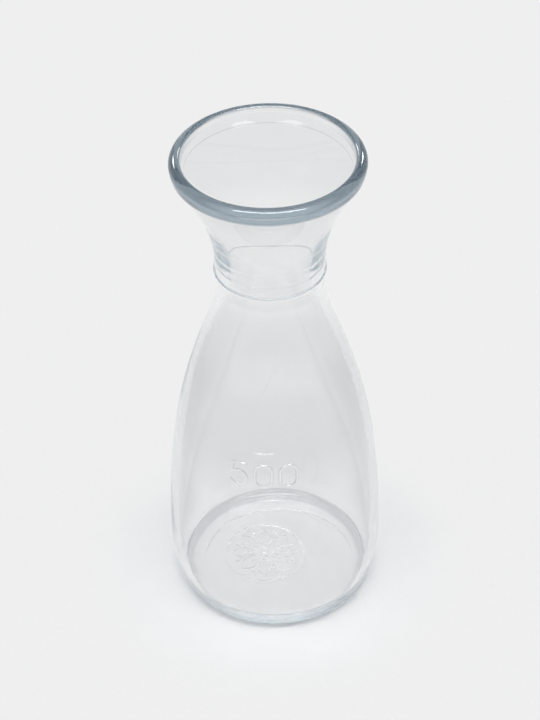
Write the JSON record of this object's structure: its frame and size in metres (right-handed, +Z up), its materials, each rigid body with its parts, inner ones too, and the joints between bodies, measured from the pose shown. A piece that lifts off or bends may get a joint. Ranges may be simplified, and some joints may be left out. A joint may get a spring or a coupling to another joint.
{
  "type": "glass carafe",
  "caption": "Open half-litre glass carafe with a rounded lip, flared mouth, slim neck with a raised fill ring, and a bell body on a rounded heel.",
  "frame": {"origin": "centre of the base, on the plane of the bearing ring that the carafe stands on", "axes": "+Z up along the axis that the vessel turns about, -Y towards the side with the raised capacity mark"},
  "size_m": [0.085, 0.085, 0.204],
  "materials": {
    "clear_glass": "clear moulded glass with a faint blue-grey tint in its thick parts, fire-polished and glossy"
  },
  "bodies": {
    "root": {"glass_vessel": "clear_glass"}
  },
  "joints": []
}
